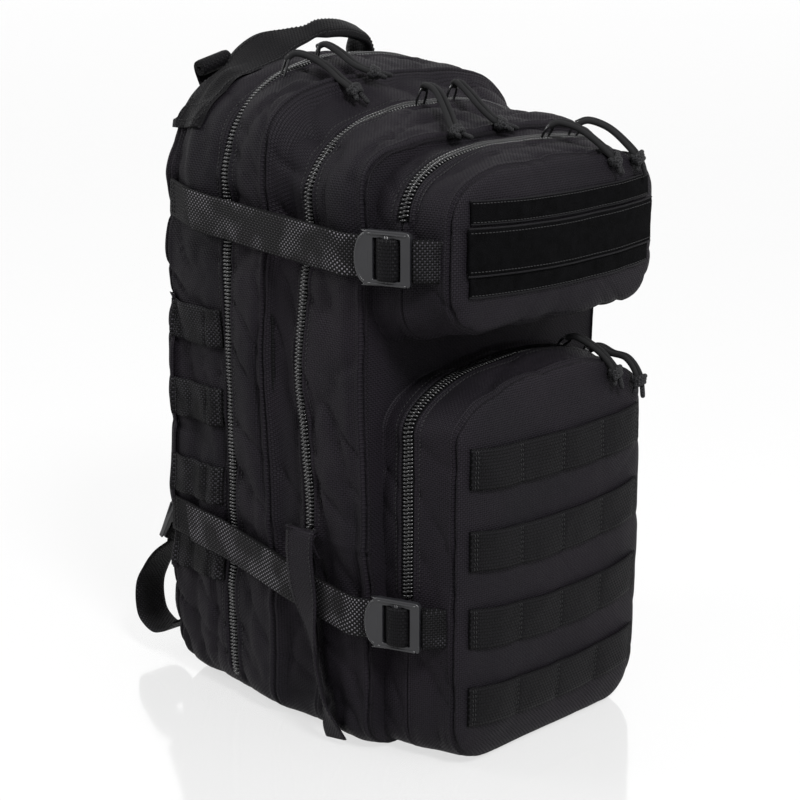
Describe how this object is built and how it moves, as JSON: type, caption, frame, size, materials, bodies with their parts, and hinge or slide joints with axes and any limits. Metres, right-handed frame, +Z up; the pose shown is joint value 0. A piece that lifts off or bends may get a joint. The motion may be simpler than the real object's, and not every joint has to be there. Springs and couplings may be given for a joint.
{
  "type": "trauma backpack",
  "caption": "Clamshell medical backpack: compartments and pocket flaps unfold, zip sliders travel, compression straps and buckles cinch the load, webbing rows take pouches",
  "frame": {"origin": "centre of the footprint of the whole pack, on the surface it stands on", "axes": "+X to the right seen from the front, +Y towards the wearer's back, +Z up"},
  "size_m": [0.2334, 0.3088, 0.4335],
  "materials": {
    "shell_fabric": "black coated oxford weave",
    "webbing": "ribbed black webbing",
    "loop_tape": "fuzzy black loop tape",
    "padding": "black padded fabric and spacer mesh",
    "lining": "black lining cloth",
    "zipper_chain": "black coil chain",
    "slider_metal": "black enamelled zinc",
    "buckle": "black moulded acetal",
    "cord": "black braided cord"
  },
  "bodies": {
    "back": {"rear_shell": "shell_fabric", "back_pad": "padding", "inner_sleeve": "lining", "rear_zipper_back": "zipper_chain", "carry_handle": "webbing", "shoulder_strap_left": "padding", "shoulder_strap_right": "padding", "shoulder_webbing_left": "webbing", "shoulder_webbing_right": "webbing", "upper_compression_strap_left": "webbing", "upper_compression_strap_right": "webbing", "lower_compression_strap_left": "webbing", "lower_compression_strap_right": "webbing", "side_webbing_left": "webbing", "side_webbing_right": "webbing"},
    "middle": {"middle_shell": "shell_fabric", "divider_panel": "lining", "rear_zipper_front": "zipper_chain", "middle_zipper_back": "zipper_chain", "keeper_strap_left": "webbing", "keeper_strap_right": "webbing"},
    "front": {"front_shell": "shell_fabric", "middle_zipper_front": "zipper_chain", "upper_pocket": "shell_fabric", "upper_zipper_back": "zipper_chain", "loop_strip_middle": "loop_tape", "loop_strip_bottom": "loop_tape", "lower_pocket": "shell_fabric", "lower_zipper_back": "zipper_chain", "pocket_webbing_3": "webbing", "pocket_webbing_4": "webbing"},
    "upper_lid": {"upper_flap": "shell_fabric", "upper_zipper_front": "zipper_chain", "loop_strip_top": "loop_tape"},
    "lower_lid": {"lower_flap": "shell_fabric", "lower_zipper_front": "zipper_chain", "pocket_webbing_1": "webbing", "pocket_webbing_2": "webbing"},
    "upper_lock_left": {"upper_ladder_lock_left": "buckle"},
    "lower_lock_left": {"lower_ladder_lock_left": "buckle"},
    "shoulder_lock_left": {"shoulder_ladder_lock_left": "buckle"},
    "upper_lock_right": {"upper_ladder_lock_right": "buckle"},
    "lower_lock_right": {"lower_ladder_lock_right": "buckle"},
    "shoulder_lock_right": {"shoulder_ladder_lock_right": "buckle"},
    "rear_slider_left_body": {"rear_slider_left": "slider_metal", "rear_pull_left": "cord"},
    "rear_slider_right_body": {"rear_slider_right": "slider_metal", "rear_pull_right": "cord"},
    "middle_slider_left_body": {"middle_slider_left": "slider_metal", "middle_pull_left": "cord"},
    "middle_slider_right_body": {"middle_slider_right": "slider_metal", "middle_pull_right": "cord"},
    "upper_slider_left_body": {"upper_slider_left": "slider_metal", "upper_pull_left": "cord"},
    "upper_slider_right_body": {"upper_slider_right": "slider_metal", "upper_pull_right": "cord"},
    "lower_slider_left_body": {"lower_slider_left": "slider_metal", "lower_pull_left": "cord"},
    "lower_slider_right_body": {"lower_slider_right": "slider_metal", "lower_pull_right": "cord"}
  },
  "joints": [
    {"name": "middle_opening", "type": "hinge", "parent": "back", "child": "middle", "pos_m": [0, 0.031, 0], "axis": [1, 0, 0], "range_deg": [0, 95]},
    {"name": "front_opening", "type": "hinge", "parent": "middle", "child": "front", "pos_m": [0, -0.043, 0], "axis": [1, 0, 0], "range_deg": [0, 32]},
    {"name": "upper_flap_fold", "type": "hinge", "parent": "front", "child": "upper_lid", "pos_m": [0, -0.1518, 0.33115], "axis": [1, 0, 0], "range_deg": [0, 80]},
    {"name": "lower_flap_fold", "type": "hinge", "parent": "front", "child": "lower_lid", "pos_m": [0, -0.1518, 0.10365], "axis": [1, 0, 0], "range_deg": [0, 85]},
    {"name": "upper_lock_left_tilt", "type": "hinge", "parent": "front", "child": "upper_lock_left", "pos_m": [-0.1035, -0.124, 0.312], "axis": [0, 0, 1], "range_deg": [0, 40]},
    {"name": "lower_lock_left_tilt", "type": "hinge", "parent": "front", "child": "lower_lock_left", "pos_m": [-0.0985, -0.127, 0.091], "axis": [0, 0, 1], "range_deg": [0, 40]},
    {"name": "shoulder_lock_left_tilt", "type": "hinge", "parent": "back", "child": "shoulder_lock_left", "pos_m": [-0.068, 0.1245, 0.105], "axis": [1, 0, 0], "range_deg": [0, 45]},
    {"name": "upper_lock_right_tilt", "type": "hinge", "parent": "front", "child": "upper_lock_right", "pos_m": [0.1035, -0.124, 0.312], "axis": [0, 0, -1], "range_deg": [0, 40]},
    {"name": "lower_lock_right_tilt", "type": "hinge", "parent": "front", "child": "lower_lock_right", "pos_m": [0.0985, -0.127, 0.091], "axis": [0, 0, -1], "range_deg": [0, 40]},
    {"name": "shoulder_lock_right_tilt", "type": "hinge", "parent": "back", "child": "shoulder_lock_right", "pos_m": [0.068, 0.1245, 0.105], "axis": [1, 0, 0], "range_deg": [0, 45]},
    {"name": "rear_slider_left_travel", "type": "slide", "parent": "middle", "child": "rear_slider_left_body", "axis": [-0.9062, 0, -0.4228], "range_m": [0, 0.025], "deforming": ["rear_pull_left"]},
    {"name": "rear_slider_right_travel", "type": "slide", "parent": "middle", "child": "rear_slider_right_body", "axis": [0.9827, 0, 0.1851], "range_m": [0, 0.025]},
    {"name": "middle_slider_left_travel", "type": "slide", "parent": "front", "child": "middle_slider_left_body", "axis": [-0.9991, 0, -0.0435], "range_m": [0, 0.025]},
    {"name": "middle_slider_right_travel", "type": "slide", "parent": "front", "child": "middle_slider_right_body", "axis": [0.9994, 0, -0.0358], "range_m": [0, 0.025]},
    {"name": "upper_slider_left_travel", "type": "slide", "parent": "upper_lid", "child": "upper_slider_left_body", "axis": [-0.9996, 0, 0.0289], "range_m": [0, 0.025]},
    {"name": "upper_slider_right_travel", "type": "slide", "parent": "upper_lid", "child": "upper_slider_right_body", "axis": [0.9919, 0, -0.1268], "range_m": [0, 0.025]},
    {"name": "lower_slider_left_travel", "type": "slide", "parent": "lower_lid", "child": "lower_slider_left_body", "axis": [-0.9771, 0, 0.2129], "range_m": [0, 0.025]},
    {"name": "lower_slider_right_travel", "type": "slide", "parent": "lower_lid", "child": "lower_slider_right_body", "axis": [0.9124, 0, -0.4093], "range_m": [0, 0.025]}
  ]
}
